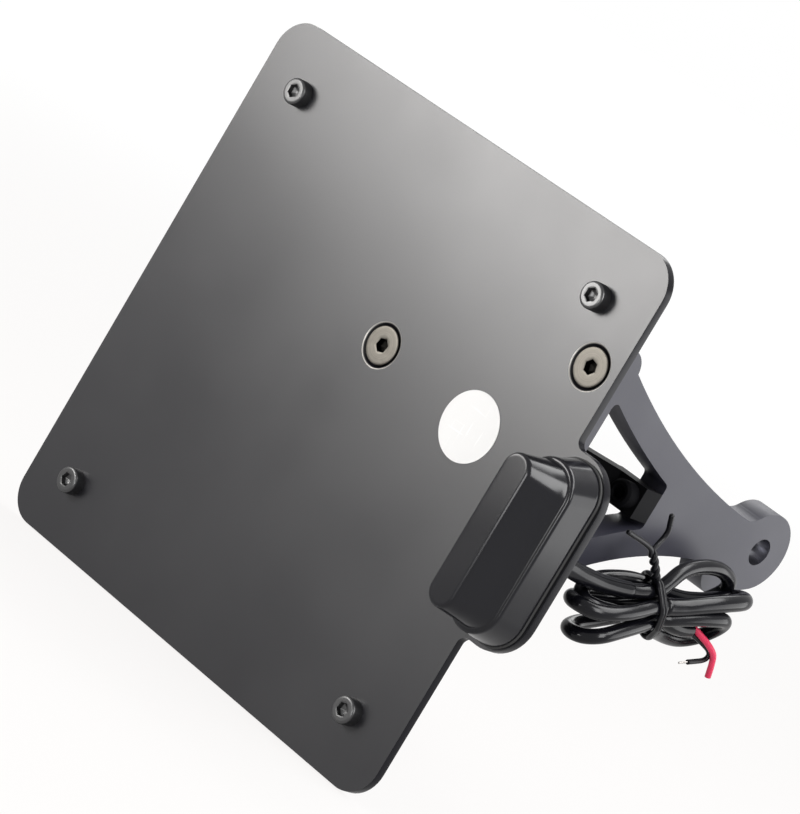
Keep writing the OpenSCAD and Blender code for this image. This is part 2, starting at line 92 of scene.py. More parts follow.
# The turns in the bundle, as distance along it, above its middle and towards +X
CABLE_TURNS = [
    (-18.3, 8.2, 0.9), (-11, 8.1, 1.6), (-5.6, 8.6, 1.9),
    (-1, 11, 1.2), (4, 13.2, -0.2), (9, 14.2, -1.2), (14.5, 14.4, -2), (20, 14.1, -2.5),
    (25.5, 13, -3), (30.6, 10.8, -3.8), (34.2, 8, -4.6), (35.6, 4.6, -5.8), (33, 1.4, -7.2),
    (27, -0.8, -7.6), (18, -1.2, -6.8), (9, -0.6, -4.6), (2, 1.4, -2.2), (-3.6, 4, -0.7),
    (-10, 2.8, -3), (-16, 1.6, -4.8), (-25, 2, -5.4), (-33, 3, -4.7), (-37, 3.8, -1.7),
    (-37.4, 4, 1.8), (-34.4, 3.6, 5), (-29, 3.4, 6.6), (-22.8, 3.7, 6.9), (-15.8, 4.2, 6.2),
    (-9, 4.8, 5.2), (-3.7, 4.4, 4.2),
    (3.6, 4.6, 4.8), (11.8, 5.6, 5.6), (21, 6.4, 6), (30, 6.4, 5.2), (35, 5.6, 2.9),
    (36.6, 4.6, -0.2), (34.6, 3.4, -2.8), (29.6, 2.8, -3.4), (23, 2.6, -3.2), (14, 3, -3.6),
    (5.3, 4.6, -5), (0, 6.8, -4.4), (-5.5, 8.3, -2.8),
    (-11, 8.8, -4.6), (-17, 8.6, -5.8), (-23.5, 8.2, -5.9), (-29.4, 6.9, -5), (-32.8, 5.2, -2.8),
    (-32.6, 3.8, 0.1), (-28.6, 2.8, 1.9), (-19, 0.9, 1.4), (-9.5, -1.8, -0.4), (0.2, -5, 0.1),
    (8, -8, -2.2), (15.5, -10.4, -3.4), (21.5, -11.2, -3.6), (26.6, -9.8, -2.4),
    (29.2, -6.2, 0.4), (29, -2.2, 3.4), (25.4, 0.4, 5.4), (19, 1.1, 6), (10, 0.9, 5.2),
    (3, 0.1, 4), (-1.6, -0.4, 2.9),
    (-9, -1.8, 4), (-18.9, -2.9, 5.6), (-27, -4.3, 6), (-31.4, -5.6, 3.8), (-33, -6.2, 0.4),
    (-31, -6.6, -3.6), (-25.6, -6.6, -5.8), (-18.4, -6, -6.2), (-11, -4.4, -5.4),
    (-5, -2.2, -3.6), (-1.2, -0.4, -1.6),
    (3.4, -1.6, 0.4), (8, -3.6, 1.2), (13, -4.8, 1.4), (17.5, -5, 1.4),
]

# The stretches under a shrunk sleeve, as steps of the cable's smooth path
GLAND_SLEEVE = slice(0, 43)
BUNDLE_SLEEVE = slice(273, 328)

# The two wires at the cable's bare end, as X, Y and Z
RED_WIRE = [
    (19.2, -34.0, -25.6), (19.9, -32.9, -25.6), (20.8, -30.6, -26.0), (22.0, -28.4, -26.9),
    (23.2, -25.8, -27.9), (24.0, -22.7, -29.4), (24.0, -20.2, -31.0), (24.0, -18.5, -33.8),
    (24.0, -16.9, -37.6),
]
BLACK_WIRE = [
    (19.3, -33.6, -27.4), (20.2, -31.0, -27.7), (21.0, -27.6, -28.4), (21.8, -24.2, -29.3),
    (22.2, -21.6, -30.2), (22.3, -20.1, -31.4), (22.3, -20.2, -32.8), (22.3, -21.6, -33.8),
    (22.3, -24.2, -34.7), (22.3, -27.8, -35.8),
]
BLACK_WIRE_TIP = [(22.3, -27.4, -35.68), (22.3, -29.4, -36.3), (22.3, -31.4, -36.9)]

# The tie's twist and its two ends, as X, Y and Z
TIE_TWIST = [
    (19.4, -59.2, -16.6), (19.8, -61.2, -15.4), (20, -63.6, -13.4), (20, -66.2, -11.3),
    (20, -68.4, -9.6),
]
TIE_LEFT_END = [
    (20, -70.8, -8.2), (20, -74.2, -7.3), (20, -78, -6.7), (20, -81.5, -6.3), (20, -84.5, -5.9),
]
TIE_RIGHT_END = [
    (18.6, -67.6, -8.4), (17.2, -65.4, -7.4), (16.2, -63.4, -5.8), (16, -62.5, -4),
    (16, -62.6, -1.8), (16, -63.7, 0.4), (16, -64.8, 2.4),
]


# ---------------------------------------------------------------- properties

class StageSettings(bpy.types.PropertyGroup):
    """The camera, floor and lamps"""

    camera_place: FloatVectorProperty(
        name="Camera place", description="Where the camera stands",
        default=(0.6992, -1.0256, 0.1393), subtype="TRANSLATION", unit="LENGTH")
    lens: FloatProperty(
        name="Lens", description="Focal length of the camera", default=179.27,
        subtype="DISTANCE_CAMERA")
    floor_gap: FloatProperty(
        name="Floor gap", description="Distance from the holder's lowest edge to the floor",
        default=0.0006, unit="LENGTH")
    key_power: FloatProperty(
        name="Key lamp", description="Power of the soft box that the panel mirrors",
        default=2.45, unit="POWER")
    side_power: FloatProperty(
        name="Side lamp", description="Power of the soft box that the arm mirrors",
        default=1.35, unit="POWER")
    right_power: FloatProperty(
        name="Right lamp", description="Power of the high soft box on the right", default=5.6, unit="POWER")
    top_power: FloatProperty(
        name="Top lamp", description="Power of the overhead soft box", default=5.2, unit="POWER")
    front_power: FloatProperty(
        name="Front lamp", description="Power of the soft box beside the camera",
        default=2.5, unit="POWER")
    rear_power: FloatProperty(
        name="Rear lamp", description="Power of the soft box that the upward walls mirror",
        default=1.3, unit="POWER")
    mirrored_white: FloatProperty(
        name="Mirrored white", description="How bright the white surround is in reflections",
        default=0.72, min=0.0, max=1.0)


class CableSettings(bpy.types.PropertyGroup):
    """The cable, its wires and its tie"""

    cable_diameter: FloatProperty(
        name="Cable", description="Outer diameter of the cable", default=0.0047, unit="LENGTH")
    red_diameter: FloatProperty(
        name="Red wire", description="Diameter of the red wire", default=0.002, unit="LENGTH")
    black_diameter: FloatProperty(
        name="Black wire", description="Diameter of the black wire", default=0.0016, unit="LENGTH")
    tip_diameter: FloatProperty(
        name="Tinned end", description="Diameter of the stripped end", default=0.0007, unit="LENGTH")
    tie_diameter: FloatProperty(
        name="Tie", description="Diameter of the coated tie wire", default=0.0017, unit="LENGTH")
    tie_turns: FloatProperty(
        name="Tie turns", description="Turns in the tie's twist", default=2.0)


class EdgeSettings(bpy.types.PropertyGroup):
    """How far the hard edges are rounded"""

    panel_edge: FloatProperty(
        name="Panel", description="Rounding of the panel's edges", default=0.0006, unit="LENGTH")
    arm_edge: FloatProperty(
        name="Arm", description="Rounding of the arm's edges", default=0.0004, unit="LENGTH")
    lamp_edge: FloatProperty(
        name="Lamp", description="Rounding of the lamp's edges", default=0.0009, unit="LENGTH")
    screw_edge: FloatProperty(
        name="Screws", description="Rounding of the screws' edges", default=0.0002, unit="LENGTH")


class ColourSettings(bpy.types.PropertyGroup):
    """The finishes' colours"""

    panel: FloatVectorProperty(
        name="Panel", description="Colour of the panel's coating", subtype="COLOR",
        default=(0.0040, 0.0039, 0.0060))
    arm: FloatVectorProperty(
        name="Arm", description="Colour of the arm's coating", subtype="COLOR",
        default=(0.022, 0.022, 0.034))
    # The brace's colour is darker than the arm's: painted shade
    brace: FloatVectorProperty(
        name="Brace", description="Colour of the brace's coating", subtype="COLOR",
        default=(0.006, 0.006, 0.007))
    steel: FloatVectorProperty(
        name="Bright screws", description="Colour of the bare steel", subtype="COLOR",
        default=(0.105, 0.098, 0.086))
    blackened: FloatVectorProperty(
        name="Black screws", description="Colour of the blackened steel", subtype="COLOR",
        default=(0.006, 0.006, 0.007))
    zinc: FloatVectorProperty(
        name="Zinc", description="Colour of the plated washers and nuts", subtype="COLOR",
        default=(0.40, 0.40, 0.41))
    lamp: FloatVectorProperty(
        name="Lamp", description="Colour of the lamp's housing", subtype="COLOR",
        default=(0.004, 0.004, 0.006))
    jacket: FloatVectorProperty(
        name="Cable", description="Colour of the cable's jacket", subtype="COLOR",
        default=(0.0035, 0.0035, 0.005))
    red: FloatVectorProperty(
        name="Red wire", description="Colour of the red insulation", subtype="COLOR",
        default=(0.47, 0.022, 0.066))
    label: FloatVectorProperty(
        name="Label", description="Colour of the round label", subtype="COLOR",
        default=(0.62, 0.62, 0.615))


# --------------------------------------------------------------- mesh helpers

def metres(points):
    return [Vector(p) / 1000 for p in points]


def bundle_point(along, above, out):
    """A point of the bundle, in metres, from its own three distances in millimetres"""
    c, s = cos(BUNDLE_SLOPE), sin(BUNDLE_SLOPE)
    return (BUNDLE_MIDDLE + Vector((out, along * c - above * s, along * s + above * c))) / 1000


def smooth_path(points, spans=8):
    """A smooth curve through the points"""
    path, last = [], len(points) - 1
    for i in range(last):
        a, b, c, d = points[max(i - 1, 0)], points[i], points[i + 1], points[min(i + 2, last)]
        for j in range(spans):
            t = j / spans
            path.append(0.5 * (2 * b + (c - a) * t + (2 * a - 5 * b + 4 * c - d) * t * t
                               + (3 * b - a - 3 * c + d) * t ** 3))
    return path + [points[-1].copy()]


def side_frames(path, closed=False):
    """A side and an up direction at each point, with no sudden turn between two of them"""
    n = len(path)
    if closed:
        ways = [(path[(i + 1) % n] - path[i - 1]).normalized() for i in range(n)]
    else:
        ways = [(path[min(i + 1, n - 1)] - path[max(i - 1, 0)]).normalized() for i in range(n)]
    side = ways[0].orthogonal().normalized()
    sides = []
    for way in ways:
        side = (side - way * side.dot(way)).normalized()
        sides.append(side.copy())
    if closed:
        last = (sides[-1] - ways[0] * sides[-1].dot(ways[0])).normalized()
        turn = last.angle(sides[0])
        if last.cross(sides[0]).dot(ways[0]) < 0:
            turn = -turn
        sides = [Matrix.Rotation(turn * i / n, 3, ways[i]) @ s for i, s in enumerate(sides)]
    return [(s, w.cross(s)) for s, w in zip(sides, ways)]


def add_tube(bm, path, radius, sides=16, closed=False, round_end=False):
    """Adds a tube round the path, with its length along U and its girth along V"""
    uv = bm.loops.layers.uv.verify()
    path, frames = list(path), side_frames(path, closed)
    radii = list(radius) if isinstance(radius, list) else [radius] * len(path)
    radius = radii[0]
    if round_end:
        way = (path[-1] - path[-2]).normalized()
        tip, tip_frame = path[-1], frames[-1]
        for step in (0.35, 0.65, 0.88):
            path.append(tip + way * radius * step)
            frames.append(tip_frame)
            radii.append(radius * sqrt(1 - step * step))
    rings, lengths, length = [], [], 0.0
    for i, (p, (side, up)) in enumerate(zip(path, frames)):
        length += (p - path[i - 1]).length if i else 0
        lengths.append(length)
        turns = [2 * pi * k / sides for k in range(sides)]
        rings.append([bm.verts.new(p + (side * cos(t) + up * sin(t)) * radii[i]) for t in turns])
    n = len(rings)
    for i in range(n if closed else n - 1):
        j = (i + 1) % n
        ends = (lengths[i], lengths[j] if j else lengths[i] + (path[0] - path[-1]).length)
        for k in range(sides):
            m = (k + 1) % sides
            face = bm.faces.new((rings[i][k], rings[i][m], rings[j][m], rings[j][k]))
            face.smooth = True
            for loop, end, v in zip(face.loops, (0, 0, 1, 1), (k, k + 1, k + 1, k)):
                loop[uv].uv = (ends[end], 2 * pi * radius * v / sides)
    if not closed:
        bm.faces.new(list(reversed(rings[0])))
        bm.faces.new(rings[-1])


def wound(path, distance, phase, step):
    """A path that winds round another one, by a step of turn at each point"""
    return [p + (side * cos(phase + step * i) + up * sin(phase + step * i)) * distance
            for i, (p, (side, up)) in enumerate(zip(path, side_frames(path)))]


def add_object(name, data):
    thing = bpy.data.objects.new(name, data)
    bpy.context.scene.collection.objects.link(thing)
    return thing


def mesh_of(bm, name):
    """The finished mesh of a working one, which is freed"""
    mesh = bpy.data.meshes.new(name)
    bm.to_mesh(mesh)
    bm.free()
    return mesh


def evaluated_mesh(work, name):
    """The mesh of an object with its modifiers applied"""
    bpy.context.view_layer.update()
    depsgraph = bpy.context.evaluated_depsgraph_get()
    mesh = bpy.data.meshes.new_from_object(
        work.evaluated_get(depsgraph), preserve_all_data_layers=True, depsgraph=depsgraph)
    mesh.name = name
    return mesh


def finish_piece(name, mesh, material):
    mesh.materials.clear()
    mesh.materials.append(material)
    return add_object(name, mesh)


def tube_piece(name, tubes, material):
    """One piece of several tubes; a tube is a path with its radius and options"""
    bm = bmesh.new()
    for path, radius, options in tubes:
        add_tube(bm, path, radius, **options)
    return finish_piece(name, mesh_of(bm, name), material)


def combined(mesh, other, operation, name):
    """The union or the difference of two solids"""
    solids = [add_object("solid", m) for m in (mesh, other)]
    step = solids[0].modifiers.new("Combined", "BOOLEAN")
    step.operation, step.solver, step.object = operation, "EXACT", solids[1]
    result = evaluated_mesh(solids[0], name)
    for solid in solids:
        bpy.data.objects.remove(solid)
    return result


def circle(bm, radius, y, sides, place=Vector()):
    """A ring of corners about the Y axis through a place, with one radius or one for each corner"""
    radii = radius if isinstance(radius, list) else [radius] * sides
    turns = [2 * pi * k / sides for k in range(sides)]
    return [bm.verts.new(place + Vector((r * cos(t), y, r * sin(t)))) for r, t in zip(radii, turns)]


def bridge(bm, rings):
    """Walls between each ring of corners and the next"""
    for a, b in zip(rings, rings[1:]):
        for k in range(len(a)):
            m = (k + 1) % len(a)
            bm.faces.new((a[k], b[k], b[m], a[m]))


def revolved_solid(name, profile, place, sides=72):
    """A closed solid about the Y axis through a place; the profile is radius and depth"""
    bm = bmesh.new()
    rings = [circle(bm, r, y, sides, place) for r, y in profile]
    bridge(bm, rings)
    for face in bm.faces:
        face.smooth = True
    bm.faces.new(rings[0])
    bm.faces.new(rings[-1])
    bmesh.ops.recalc_face_normals(bm, faces=bm.faces)
    return mesh_of(bm, name)


def merged_copy(node, shift=None, added=None):
    """A copy of a CAD node's mesh with its loose triangles joined to whole faces"""
    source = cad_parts[node].data
    if added:
        source = combined(source.copy(), added, "UNION", node + "_filled")
    bm = bmesh.new()
    bm.from_mesh(source)
    bmesh.ops.remove_doubles(bm, verts=bm.verts, dist=2e-6)
    bmesh.ops.dissolve_limit(bm, angle_limit=radians(0.4), verts=bm.verts, edges=bm.edges)
    if shift:
        bmesh.ops.translate(bm, vec=shift, verts=bm.verts)
    for face in bm.faces:
        # A face that turns gently into a neighbour is curved, and any other one is flat
        bends = [e.calc_face_angle(0) for e in face.edges]
        face.material_index = 0 if any(radians(0.5) < b < radians(28) for b in bends) else 1
    return mesh_of(bm, node + "_shape")


def rounded(name, mesh, width, segments):
    """The mesh with its hard edges rounded, as a plain mesh"""
    work = add_object(name, mesh)
    bevel = work.modifiers.new("Edge", "BEVEL")
    bevel.width = width
    bevel.segments = segments
    bevel.limit_method = "ANGLE"
    bevel.angle_limit = radians(38)
    bevel.use_clamp_overlap = True
    bevel.material = 0
    # Slot 1 marks the flat faces, which stay flat in shading
    mesh.materials.append(None)
    mesh.materials.append(None)
    result = evaluated_mesh(work, name)
    for face in result.polygons:
        face.use_smooth = face.material_index == 0
        face.material_index = 0
    bpy.data.objects.remove(work)
    bpy.data.meshes.remove(mesh)
    return result


def declare(piece, slot, *nodes):
    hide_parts(*nodes)
    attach(piece, BODY)
    return piece


def dress(node, name, width, material, slot, segments=3, added=None):
    """A piece in the shape of one CAD node, with its hard edges rounded"""
    mesh = rounded(name, merged_copy(node, added=added), width, segments)
    return declare(finish_piece(name, mesh, material), slot, node)


# ---------------------------------------------------------------- node helpers

def feed(tree, node, feeds):
    """Sends values or other nodes' outputs to a node's inputs"""
    for key, value in feeds.items():
        if isinstance(value, bpy.types.NodeSocket):
            tree.links.new(value, node.inputs[key])
        else:
            node.inputs[key].default_value = value


def new_node(tree, kind, place, feeds=None, **settings):
    node = tree.nodes.new(kind)
    node.location = place
    for key, value in settings.items():
        setattr(node, key, value)
    feed(tree, node, feeds or {})
    return node


def new_group(name, inputs, outputs):
    """An empty shader node group with named number inputs and outputs"""
    group = bpy.data.node_groups.new(name, "ShaderNodeTree")
    for title, value in inputs.items():
        socket = group.interface.new_socket(title, in_out="INPUT", socket_type="NodeSocketFloat")
        socket.default_value = value
    for title in outputs:
        group.interface.new_socket(title, in_out="OUTPUT", socket_type="NodeSocketFloat")
    start = new_node(group, "NodeGroupInput", (-900, 0))
    end = new_node(group, "NodeGroupOutput", (600, 0))
    return group, start.outputs, end


def math_node(tree, operation, place, *values):
    return new_node(tree, "ShaderNodeMath", place, dict(enumerate(values)), operation=operation).outputs[0]


def noise(tree, vector, scale, detail, place, stretch=None):
    if stretch:
        vector = new_node(tree, "ShaderNodeMapping", (place[0] - 200, place[1]),
                          {"Vector": vector, "Scale": stretch}).outputs[0]
    feeds = {"Vector": vector, "Scale": scale, "Detail": detail}
    return new_node(tree, "ShaderNodeTexNoise", place, feeds).outputs["Fac"]


def map_range(tree, value, low, high, place=(-250, 0), to=(0.0, 1.0), **settings):
    """Sends a value between low and high to another range"""
    feeds = {"Value": value, "From Min": low, "From Max": high, "To Min": to[0], "To Max": to[1]}
    return new_node(tree, "ShaderNodeMapRange", place, feeds, **settings).outputs[0]


def object_coordinates(tree, place=(-900, 300)):
    return new_node(tree, "ShaderNodeTexCoord", place).outputs["Object"]


def made_once(name):
    """Keeps what a maker returns as the node tree of that name"""
    def keeper(make):
        return lambda: bpy.data.node_groups.get(name) or make(name)
    return keeper


@made_once("Coating surface")
def coating_group(name):
    """Powder coating: fine peel, slow changes of gloss and a little dust"""
    group, start, end = new_group(
        name, {"Peel scale": 900.0, "Dust": 0.5}, ("Height", "Gloss change", "Dust mask"))
    place = object_coordinates(group)
    peel = noise(group, place, start["Peel scale"], 3.0, (-500, 300))
    grain = noise(group, place, 5200.0, 1.0, (-500, 100))
    specks = noise(group, place, 1900.0, 2.0, (-500, -300))
    raised = math_node(group, "GREATER_THAN", (-200, -300), specks, 0.73)
    feed(group, end, {
        "Height": math_node(group, "MULTIPLY_ADD", (-200, 200), grain, 0.3, peel),
        "Gloss change": noise(group, place, 26.0, 3.0, (-500, -100)),
        "Dust mask": math_node(group, "MULTIPLY", (0, -300), raised, start["Dust"]),
    })
    return group


@made_once("Fine scuffs")
def scuff_group(name):
    """Fine rubbed lines in two directions, broken up into short lengths"""
    group, start, end = new_group(name, {"Amount": 0.5}, ("Scuffs",))
    place = object_coordinates(group)
    first = noise(group, place, 60.0, 2.0, (-500, 300), (1.0, 30.0, 26.0))
    second = noise(group, place, 70.0, 2.0, (-500, 100), (24.0, 8.0, 1.4))
    where = noise(group, place, 34.0, 2.0, (-500, -100))
    lines = math_node(group, "MAXIMUM", (-250, 200), first, second)
    thin = map_range(group, lines, 0.66, 0.74, (-50, 200))
    broken = map_range(group, where, 0.48, 0.62, (-250, -100))
    both = math_node(group, "MULTIPLY", (200, 100), thin, broken)
    feed(group, end, {"Scuffs": math_node(group, "MULTIPLY", (400, 100), both, start["Amount"])})
    return group


@made_once("Turned rings")
def turned_group(name):
    """Turning marks: fine rings round the screw's own axis, and a mask for painted shade inside the socket
    """
    group, start, end = new_group(
        name, {"Ring scale": 1900.0, "Socket reach": 0.0}, ("Height", "Tone", "Socket mask"))
    own = new_node(group, "ShaderNodeAttribute", (-900, 300), attribute_name="own_place").outputs["Vector"]
    split = new_node(group, "ShaderNodeSeparateXYZ", (-700, 300), {0: own}).outputs
    squares = [math_node(group, "MULTIPLY", (-500, y), split[axis], split[axis])
               for axis, y in (("X", 400), ("Z", 200))]
    radius = math_node(group, "SQRT", (-150, 300), math_node(group, "ADD", (-300, 300), *squares))
    feeds = {"W": radius, "Scale": start["Ring scale"]}
    rings = new_node(group, "ShaderNodeTexNoise", (50, 300), feeds, noise_dimensions="1D").outputs["Fac"]
    spots = math_node(group, "MULTIPLY", (150, -100), noise(group, own, 420.0, 3.0, (50, 0)), 0.4)
    inner = math_node(group, "LESS_THAN", (50, -300), radius, start["Socket reach"])
    deep = math_node(group, "GREATER_THAN", (50, -450), split["Y"], 0.00025)
    feed(group, end, {
        "Height": rings,
        "Tone": math_node(group, "MULTIPLY_ADD", (250, 0), rings, 0.6, spots),
        "Socket mask": math_node(group, "MULTIPLY", (250, -350), inner, deep),
    })
    return group


@made_once("Cable jacket surface")
def jacket_group(name):
    """A soft plastic jacket: slow waves along it and faint handling marks"""
    group, start, end = new_group(name, {"Wave scale": 140.0}, ("Height", "Gloss change"))
    own = new_node(group, "ShaderNodeUVMap", (-900, 300)).outputs[0]
    waves = noise(group, own, start["Wave scale"], 2.0, (-500, 300))
    fine = noise(group, own, 900.0, 2.0, (-500, 100), (0.25, 1.0, 1.0))
    feed(group, end, {
        "Height": math_node(group, "MULTIPLY_ADD", (-200, 200), fine, 0.2, waves),
        "Gloss change": noise(group, object_coordinates(group, (-900, -100)), 120.0, 3.0, (-500, -100)),
    })
    return group


def place_group(tree, group, place=(-700, 0), **values):
    """The outputs of a shared group in a material"""
    feeds = {title.replace("_", " "): value for title, value in values.items()}
    return new_node(tree, "ShaderNodeGroup", place, feeds, node_tree=group).outputs


def new_material(name, colour, roughness, ior=1.5, metallic=0.0):
    """A material with its plain values on the shader's own sockets"""
    material = bpy.data.materials.new(name)
    material.use_nodes = True
    material.diffuse_color = (*colour, 1.0)
    tree = material.node_tree
    shader = tree.nodes["Principled BSDF"]
    feed(tree, shader, {"Base Color": (*colour, 1.0), "Roughness": roughness, "IOR": ior,
                        "Metallic": metallic})
    return material, tree, shader


def tint(tree, mask, dark, light, place=(-250, 250)):
    """Mixes two colours by a mask"""
    feeds = {0: mask, 6: (*dark, 1.0), 7: (*light, 1.0)}
    return new_node(tree, "ShaderNodeMix", place, feeds, data_type="RGBA").outputs[2]


def finish_surface(tree, shader, colour, gloss, low, high, height, strength, distance):
    """Sends a colour, a roughness from low to high and a bump to the shader"""
    feeds = {"Strength": strength, "Distance": distance, "Height": height}
    feed(tree, shader, {
        "Base Color": colour,
        "Roughness": map_range(tree, gloss, 0.3, 0.7, to=(low, high)),
        "Normal": new_node(tree, "ShaderNodeBump", (-250, -300), feeds).outputs[0],
    })


def scaled(colour, factor):
    return tuple(min(1.0, c * factor) for c in colour)


def coated(name, colour, low, high, ior, dust):
    """Black powder coating on metal"""
    material, tree, shader = new_material(name, colour, (low + high) / 2, ior)
    surface = place_group(tree, coating_group(), Dust=dust)
    tone = tint(tree, surface["Dust mask"], colour, tuple(c * 1.9 + 0.02 for c in colour))
    finish_surface(tree, shader, tone, surface["Gloss change"], low, high, surface["Height"], 0.22, 0.00002)
    return material


def turned_metal(name, colour, low, high, depth=0.00001, strength=0.35, socket=0.0):
    """Bare or plated metal with turning marks, with painted shade inside a socket of the given reach"""
    material, tree, shader = new_material(name, colour, (low + high) / 2, metallic=1.0)
    rings = place_group(tree, turned_group(), Socket_reach=socket)
    tone = tint(tree, rings["Tone"], scaled(colour, 0.35), scaled(colour, 1.65), (-480, 300))
    # Inside the socket the colour is painted nearly black: painted shade in the hollow
    feeds = {0: rings["Socket mask"], 6: tone, 7: (*scaled(colour, 0.1), 1.0)}
    deep = new_node(tree, "ShaderNodeMix", (-250, 300), feeds, data_type="RGBA").outputs[2]
    finish_surface(tree, shader, deep, rings["Tone"], low, high, rings["Height"], strength, depth)
    return material


def moulded(name, colour, low, high, ior=1.5, scale=160.0, depth=0.00001, strength=0.15, metallic=0.0):
    """Moulded plastic, rubber or plain metal, with a little dust and rubbed lines"""
    material, tree, shader = new_material(name, colour, (low + high) / 2, ior, metallic)
    surface = place_group(tree, coating_group(), Peel_scale=scale, Dust=0.35)
    rubs = place_group(tree, scuff_group(), (-700, -250), Amount=0.35)
    marks = math_node(tree, "MAXIMUM", (-480, 200), surface["Dust mask"], rubs["Scuffs"])
    tone = tint(tree, marks, colour, tuple(c * 1.5 + 0.012 for c in colour))
    finish_surface(
        tree, shader, tone, surface["Gloss change"], low, high, surface["Height"], strength, depth)
    return material


def jacketed(name, colour, low, high):
    """Extruded insulation"""
    material, tree, shader = new_material(name, colour, (low + high) / 2, 1.32)
    surface = place_group(tree, jacket_group())
    slow = surface["Gloss change"]
    tone = tint(tree, slow, scaled(colour, 0.8), scaled(colour, 1.3))
    finish_surface(tree, shader, tone, slow, low, high, surface["Height"], 0.18, 0.00004)
    return material


# ------------------------------------------------------------- geometry nodes

@made_once("Copies on places")
def copies_tree(name):
    """Puts a turned copy of one part on each point"""
    tree = bpy.data.node_groups.new(name, "GeometryNodeTree")
    for title, kind in (("Places", "Geometry"), ("Part", "Object"), ("Most turn", "Float"),
                        ("Seed", "Int"), ("Finish", "Material")):
        tree.interface.new_socket(title, in_out="INPUT", socket_type="NodeSocket" + kind)
    tree.interface.new_socket("Geometry", in_out="OUTPUT", socket_type="NodeSocketGeometry")
    start = new_node(tree, "NodeGroupInput", (-900, 0)).outputs
    part = new_node(tree, "GeometryNodeObjectInfo", (-650, -200), {"Object": start["Part"]},
                    transform_space="ORIGINAL")
    position = new_node(tree, "GeometryNodeInputPosition", (-650, -400))
    own = new_node(tree, "GeometryNodeStoreNamedAttribute", (-400, -200), {
        "Geometry": part.outputs["Geometry"], "Name": "own_place", "Value": position.outputs[0],
    }, data_type="FLOAT_VECTOR", domain="POINT")
    turn = new_node(tree, "FunctionNodeRandomValue", (-400, -450),
                    {3: start["Most turn"], "Seed": start["Seed"]}, data_type="FLOAT")
    about = new_node(tree, "ShaderNodeCombineXYZ", (-200, -450), {"Y": turn.outputs[1]})
    copies = new_node(tree, "GeometryNodeInstanceOnPoints", (0, 0), {
        "Points": start["Places"], "Instance": own.outputs["Geometry"], "Rotation": about.outputs[0]})
    whole = new_node(tree, "GeometryNodeRealizeInstances", (250, 0), {0: copies.outputs[0]})
    finish = new_node(tree, "GeometryNodeSetMaterial", (500, 0), {
        "Geometry": whole.outputs[0], "Material": start["Finish"]})
    new_node(tree, "NodeGroupOutput", (900, 0), {0: finish.outputs[0]})
    return tree


def place_copies(name, part_mesh, places, material, slot, nodes, most_turn, seed):
    """One piece with the part at each place, for the nodes that stand there"""
    part = add_object(name + "_part", part_mesh)
    points = bpy.data.meshes.new(name + "_places")
    points.from_pydata([tuple(p) for p in places], [], [])
    work = add_object(name + "_work", points)
    tree = copies_tree()
    modifier = work.modifiers.new("Copies", "NODES")
    modifier.node_group = tree
    sockets = {s.name: s.identifier for s in tree.interface.items_tree if s.in_out == "INPUT"}
    for title, value in (("Part", part), ("Most turn", most_turn), ("Seed", seed), ("Finish", material)):
        modifier[sockets[title]] = value
    mesh = evaluated_mesh(work, name)
    for helper in (work, part):
        bpy.data.objects.remove(helper)
    if len(mesh.polygons) == 0:
        raise RuntimeError(name + " came out empty")
    return declare(finish_piece(name, mesh, material), slot, *nodes)


def node_middle(node):
    low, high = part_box(node)
    return (Vector(low) + Vector(high)) / 2


def copied_fastener(name, nodes, width, material, slot, most_turn=0.0, seed=3):
    """Copies of the first node's rounded shape on the middle of every node"""
    middles = [node_middle(n) for n in nodes]
    mesh = rounded(name + "_one", merged_copy(nodes[0], -middles[0]), width, 2)
    return place_copies(name, mesh, middles, material, slot, nodes, most_turn, seed)


def revolved_screw(name, profile, hexagon, depth, sides=60):
    """A screw about the Y axis with a six-sided socket; the profile starts at the socket's mouth"""
    bm = bmesh.new()
    across = hexagon / sqrt(3)
    # A six-sided ring reaches less far between its corners
    six = [cos(pi / 6) / cos((2 * pi * k / sides) % (pi / 3) - pi / 6) for k in range(sides)]
    rings = [circle(bm, [r * part for part in six], y, sides)
             for r, y in ((across * 0.96, depth), (across, depth - 0.0001), (across, 0.0004),
                          (across * 1.04, 0.0001))]
    rings += [circle(bm, r, y, sides) for r, y in [(across * 1.12, 0.0), *profile]]
    cone = bm.verts.new((0, depth + across * 0.4, 0))
    for k in range(sides):
        bm.faces.new((cone, rings[0][k], rings[0][(k + 1) % sides]))
    bridge(bm, rings)
    bm.faces.new(rings[-1])
    bmesh.ops.recalc_face_normals(bm, faces=bm.faces)
    for face in bm.faces:
        face.smooth = True
    mesh = mesh_of(bm, name)
    mesh.set_sharp_from_angle(angle=radians(50))
    return mesh


def oblong(bm, left, right, length, radius, y, middle_z, steps=10):
    """A rounded oblong of corners across X and Z at one Y"""
    x = (right - radius, left + radius)
    z = (middle_z + length / 2 - radius, middle_z - length / 2 + radius)
    corners = []
    for quarter, (i, j) in enumerate(((0, 0), (1, 0), (1, 1), (0, 1))):
        for k in range(steps + 1):
            turn = (quarter + k / steps) * pi / 2
            corners.append(bm.verts.new((x[i] + radius * cos(turn), y, z[j] + radius * sin(turn))))
    return corners


def lofted(name, layers, middle_z):
    """A closed solid through oblongs in front of the panel

    A layer is its height over the panel, left, right, length and corner radius.
    """
    bm = bmesh.new()
    rings = [oblong(bm, left, right, length, radius, PANEL_FRONT - height, middle_z)
             for height, left, right, length, radius in layers]
    bridge(bm, rings)
    for last in (rings[0], rings[-1]):
        bm.faces.new(last)
    bmesh.ops.recalc_face_normals(bm, faces=bm.faces)
    for face in bm.faces:
        face.smooth = len(face.verts) < 5
    return mesh_of(bm, name)


# -------------------------------------------------------------------- operators

